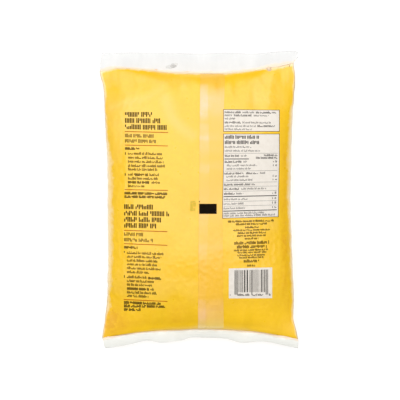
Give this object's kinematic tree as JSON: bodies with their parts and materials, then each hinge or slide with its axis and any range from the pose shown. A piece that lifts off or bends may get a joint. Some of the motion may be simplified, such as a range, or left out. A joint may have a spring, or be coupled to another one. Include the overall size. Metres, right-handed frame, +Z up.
{
  "type": "bag of dried beans",
  "caption": "Shut pillow bag of dried split beans in yellow printed film, with flat clear end seals and a lap seam down its back, lying on its front.",
  "frame": {"origin": "bottom centre of the bag's box, on the flat face it rests on", "axes": "+Y along the bag towards its top seal, +X to the right as the back is read, +Z up, out of the back"},
  "size_m": [0.184, 0.2764, 0.0418],
  "materials": {
    "printed_film": "glossy yellow printed film over small hard beans",
    "clear_film": "clear heat-sealed film, two layers, faintly milky",
    "panel_white": "white printed panel",
    "ink_dark": "dark brown-black print",
    "ink_orange": "orange printed rules",
    "ink_olive": "print of the inner layer, showing through as olive",
    "dust": "bits of bean caught in the seal"
  },
  "bodies": {
    "root": {"bag": "printed_film"}
  },
  "joints": []
}
